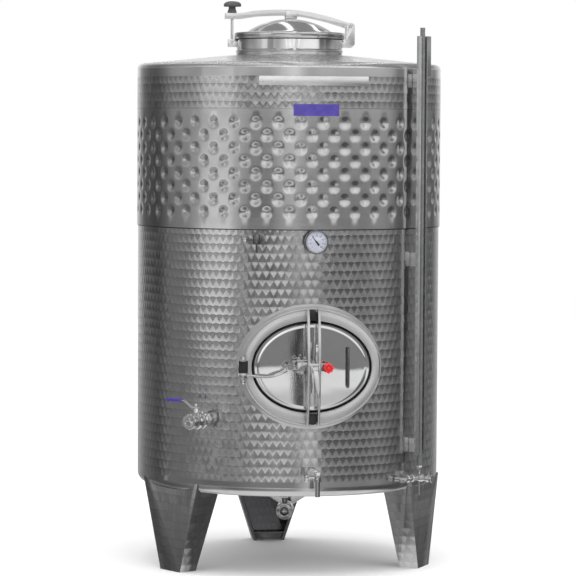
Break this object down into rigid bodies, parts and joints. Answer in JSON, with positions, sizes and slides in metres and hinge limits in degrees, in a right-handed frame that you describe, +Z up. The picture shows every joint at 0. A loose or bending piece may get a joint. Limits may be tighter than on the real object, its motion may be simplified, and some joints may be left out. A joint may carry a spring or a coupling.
{
  "type": "vertical wine storage tank",
  "caption": "Upright stainless wine tank on folded legs with a domed top lid, oval front door, dimpled cooling jacket, level gauge, thermometer, taps and ball valves.",
  "frame": {"origin": "on the floor, at the middle of the tank's footprint with its front fittings", "axes": "+Z up along the tank's axis, -Y out of the front with the oval door, +X to the right as seen from the front"},
  "size_m": [1.138, 1.2495, 2.1055],
  "materials": {
    "shell_steel": "2B rolled stainless sheet, circle-polished",
    "jacket_steel": "dimpled stainless sheet",
    "polished_steel": "polished stainless",
    "brushed_fittings": "brushed stainless",
    "seal_rubber": "black food-grade rubber",
    "hinge_plastic": "black moulded plastic",
    "knob_plastic": "dark grey plastic",
    "red_plastic": "red moulded plastic",
    "blue_plastic": "blue dipped vinyl",
    "dial_white": "white dial behind a clear lens",
    "clear_plastic": "clear plastic tube",
    "label_blue": "blue film, left blank"
  },
  "bodies": {
    "tank": {"shell_wall_front": "shell_steel", "shell_wall_right": "shell_steel", "shell_wall_back": "shell_steel", "shell_wall_left": "shell_steel", "shell_wall_upper": "shell_steel", "shell_band_top": "shell_steel", "roof": "shell_steel", "bottom_head": "shell_steel", "drain_sump": "shell_steel", "cooling_jacket": "jacket_steel", "manhole_neck": "polished_steel", "manway_hinge_pin": "polished_steel", "thermometer_case": "polished_steel", "upper_tap_body": "polished_steel", "lower_tap_body": "polished_steel", "side_valve_nipple": "polished_steel", "side_valve_body": "polished_steel", "drain_valve_nipple": "polished_steel", "drain_valve_body": "polished_steel", "gauge_cock_body": "polished_steel", "lid_hinge_bracket": "brushed_fittings", "bolt_bracket": "brushed_fittings", "lid_hinge_pin": "brushed_fittings", "manway_frame": "brushed_fittings", "gauge_channel": "brushed_fittings", "ladder_rail": "brushed_fittings", "leg_front_left": "brushed_fittings", "leg_front_right": "brushed_fittings", "leg_back": "brushed_fittings", "manway_hinge_block": "hinge_plastic", "thermometer_dial": "dial_white", "gauge_tube": "clear_plastic", "label_plate": "label_blue"},
    "lid": {"lid": "polished_steel", "lid_gasket": "seal_rubber", "clamp_arm": "brushed_fittings", "arm_saddle": "brushed_fittings"},
    "clamp_knob": {"clamp_knob": "knob_plastic"},
    "swing_bolt": {"swing_bolt": "brushed_fittings"},
    "manway_door": {"manway_door": "polished_steel", "manway_seal": "seal_rubber", "door_handle": "polished_steel", "door_yoke": "brushed_fittings", "yoke_pad_upper": "seal_rubber", "yoke_pad_lower": "seal_rubber", "hinge_arm": "polished_steel"},
    "clamp_lever": {"clamp_lever": "polished_steel"},
    "locking_knob": {"locking_knob": "red_plastic"},
    "side_valve_lever": {"side_valve_lever": "polished_steel", "side_valve_grip": "blue_plastic"},
    "drain_valve_lever": {"drain_valve_lever": "polished_steel", "drain_valve_grip": "blue_plastic"},
    "upper_tap_handle": {"upper_tap_handle": "polished_steel"},
    "lower_tap_handle": {"lower_tap_handle": "polished_steel"},
    "gauge_cock_handle": {"gauge_cock_handle": "polished_steel"}
  },
  "joints": [
    {"name": "lid_hinge", "type": "hinge", "parent": "tank", "child": "lid", "pos_m": [0.2313, 0.056, 2.008], "axis": [0, 1, 0], "range_deg": [0, 110]},
    {"name": "clamp_knob_turn", "type": "hinge", "parent": "lid", "child": "clamp_knob", "pos_m": [-0.217, 0.056, 2.08], "axis": [0, 0, 1], "continuous": true},
    {"name": "clamp_bolt_hinge", "type": "hinge", "parent": "tank", "child": "swing_bolt", "pos_m": [-0.217, 0.056, 1.944], "axis": [0, -1, 0], "range_deg": [0, 100]},
    {"name": "manway_hinge", "type": "hinge", "parent": "tank", "child": "manway_door", "pos_m": [-0.251, -0.556, 0.773], "axis": [0, 0, -1], "range_deg": [0, 110]},
    {"name": "clamp_lever_hinge", "type": "hinge", "parent": "manway_door", "child": "clamp_lever", "pos_m": [0, -0.6057, 0.77], "axis": [-1, 0, 0], "range_deg": [0, 90]},
    {"name": "locking_knob_turn", "type": "hinge", "parent": "manway_door", "child": "locking_knob", "pos_m": [0.051, -0.584, 0.773], "axis": [0, 1, 0], "continuous": true},
    {"name": "side_valve_turn", "type": "hinge", "parent": "tank", "child": "side_valve_lever", "pos_m": [-0.40775, -0.45661, 0.624], "axis": [0, 0, 1], "range_deg": [0, 90]},
    {"name": "drain_valve_turn", "type": "hinge", "parent": "tank", "child": "drain_valve_lever", "pos_m": [-0.04082, -0.16425, 0.2595], "axis": [0, 0, 1], "range_deg": [0, 90]},
    {"name": "upper_tap_turn", "type": "hinge", "parent": "tank", "child": "upper_tap_handle", "pos_m": [-0.24184, -0.52718, 1.228], "axis": [0.9466, -0.3223, 0], "range_deg": [0, 90]},
    {"name": "lower_tap_turn", "type": "hinge", "parent": "tank", "child": "lower_tap_handle", "pos_m": [-0.02449, -0.57486, 0.38], "axis": [0.9997, 0.0262, 0], "range_deg": [0, 90]},
    {"name": "gauge_cock_turn", "type": "hinge", "parent": "tank", "child": "gauge_cock_handle", "pos_m": [0.3486, -0.42695, 0.35], "axis": [0.7071, 0.7071, 0], "range_deg": [0, 90]}
  ]
}
